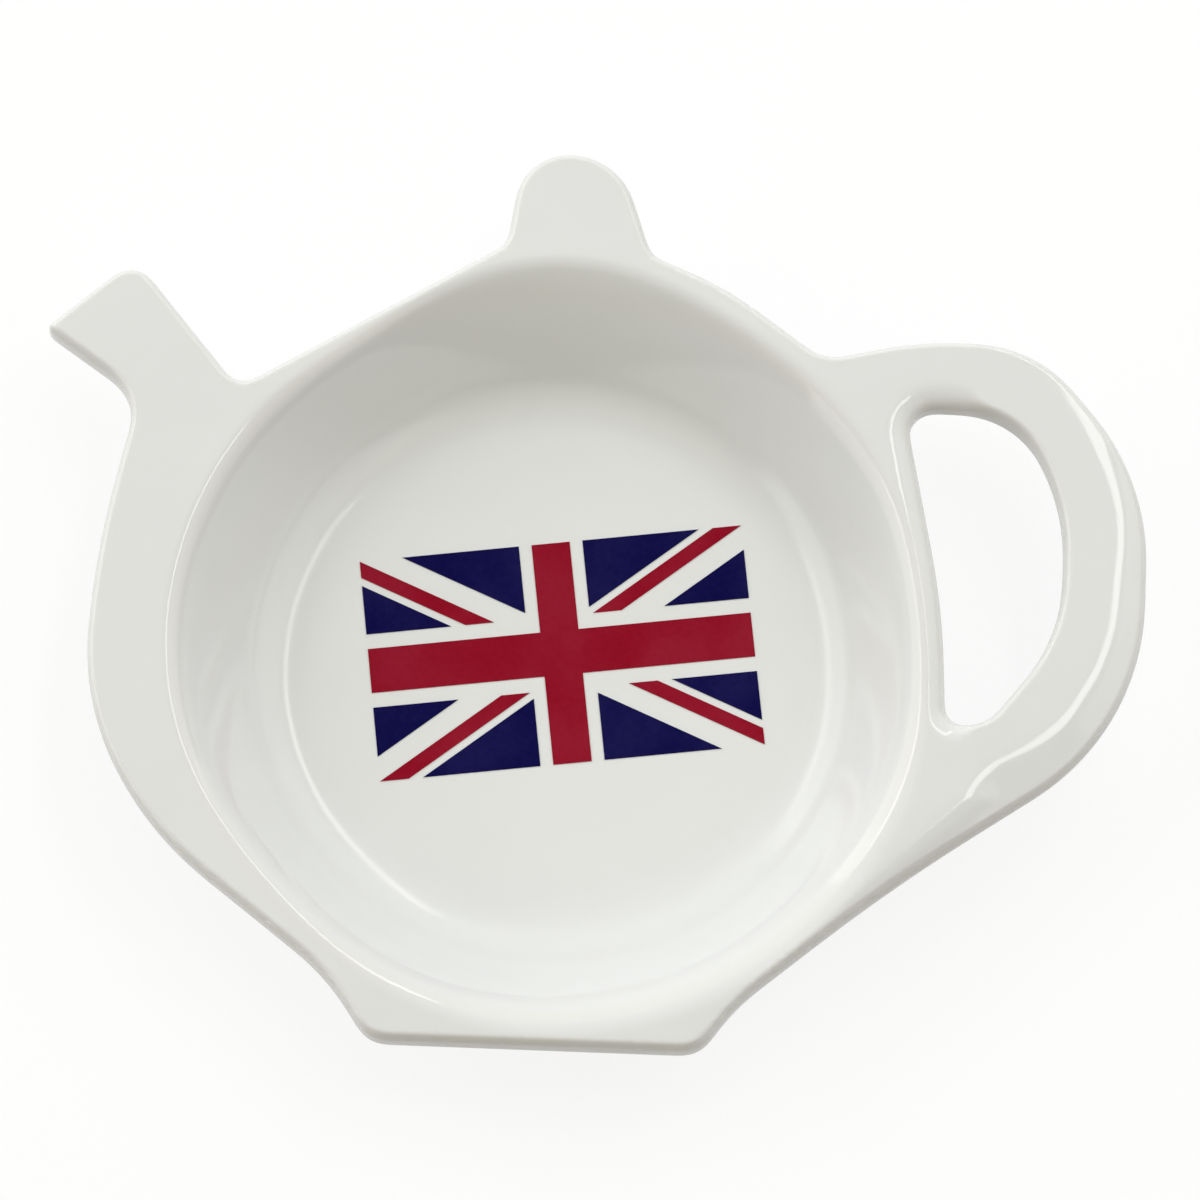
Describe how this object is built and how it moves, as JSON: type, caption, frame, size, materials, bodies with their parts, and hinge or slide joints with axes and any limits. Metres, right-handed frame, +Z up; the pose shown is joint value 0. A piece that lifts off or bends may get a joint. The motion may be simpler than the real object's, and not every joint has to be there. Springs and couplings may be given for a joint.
{
  "type": "tea bag rest",
  "caption": "Teapot-shaped glazed ceramic dish with a round well, spout, knob and open handle loop, for resting a used tea bag, with an enamel flag on its floor.",
  "frame": {"origin": "centre of the foot ring, on the plane that the dish stands on, under the middle of the well", "axes": "+Z up out of the well, +X towards the handle, +Y towards the lid knob"},
  "size_m": [0.1205, 0.0994, 0.017],
  "materials": {
    "white_glaze": "glossy white glaze on fired clay",
    "red_enamel": "glossy fired enamel",
    "blue_enamel": "glossy fired enamel"
  },
  "bodies": {
    "root": {"dish": "white_glaze", "red_cross": "red_enamel", "red_diagonal_upper_right": "red_enamel", "red_diagonal_upper_left": "red_enamel", "red_diagonal_lower_left": "red_enamel", "red_diagonal_lower_right": "red_enamel", "blue_field_upper_right_tall": "blue_enamel", "blue_field_upper_right_side": "blue_enamel", "blue_field_upper_left_tall": "blue_enamel", "blue_field_upper_left_side": "blue_enamel", "blue_field_lower_left_tall": "blue_enamel", "blue_field_lower_left_side": "blue_enamel", "blue_field_lower_right_tall": "blue_enamel", "blue_field_lower_right_side": "blue_enamel"}
  },
  "joints": []
}
